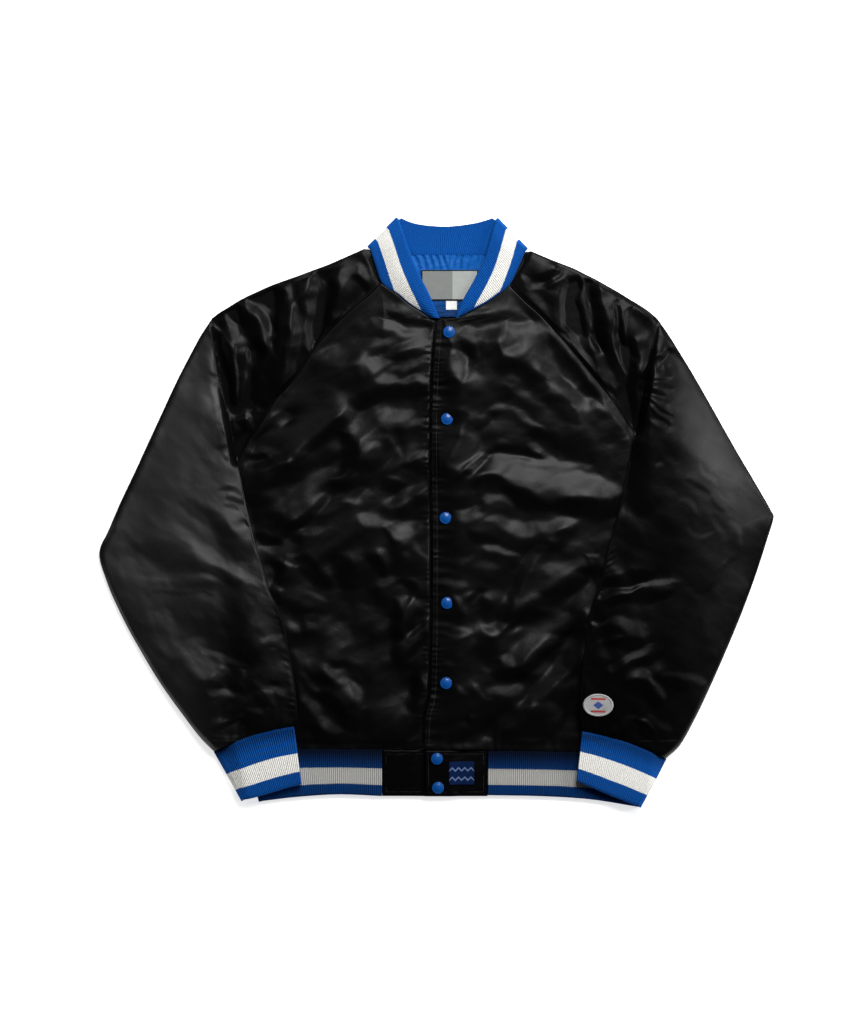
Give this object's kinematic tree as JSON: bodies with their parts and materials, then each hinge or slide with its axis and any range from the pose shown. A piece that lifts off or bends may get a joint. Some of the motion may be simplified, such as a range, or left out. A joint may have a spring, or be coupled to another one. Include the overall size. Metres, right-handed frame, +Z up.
{
  "type": "satin varsity jacket",
  "caption": "Padded satin jacket with raglan sleeves, snap front, slanted welt pockets and striped rib collar, cuffs and hem, laid flat with its front up.",
  "frame": {"origin": "centre of the jacket's bounding box, on the surface that it lies on", "axes": "+X to the viewer's right across the fronts, +Y from the hem to the collar, +Z up from the surface"},
  "size_m": [0.8664, 0.757, 0.0444],
  "materials": {
    "black_satin": "soft satin sheen over padding",
    "royal_rib_knit": "matt rib knit with one off-white stripe",
    "blue_lining": "thin crinkled lining with a light sheen",
    "snap_enamel": "glossy enamel",
    "label_grey": "smooth woven label",
    "tab_white": "matt woven tab",
    "label_navy": "matt woven label"
  },
  "bodies": {
    "root": {"back": "black_satin", "front_left": "black_satin", "front_right": "black_satin", "sleeve_left": "black_satin", "sleeve_right": "black_satin", "collar_rib": "royal_rib_knit", "hem_rib": "royal_rib_knit", "cuff_left": "royal_rib_knit", "cuff_right": "royal_rib_knit", "hem_block_left": "black_satin", "hem_block_right": "black_satin", "pocket_welt_left": "black_satin", "pocket_welt_right": "black_satin", "lining_neck": "blue_lining", "neck_label": "label_grey", "size_tab": "tab_white", "hem_label": "label_navy", "sleeve_patch": "tab_white", "snap_1": "snap_enamel", "snap_2": "snap_enamel", "snap_3": "snap_enamel", "snap_4": "snap_enamel", "snap_5": "snap_enamel", "snap_6": "snap_enamel", "snap_7": "snap_enamel"}
  },
  "joints": []
}
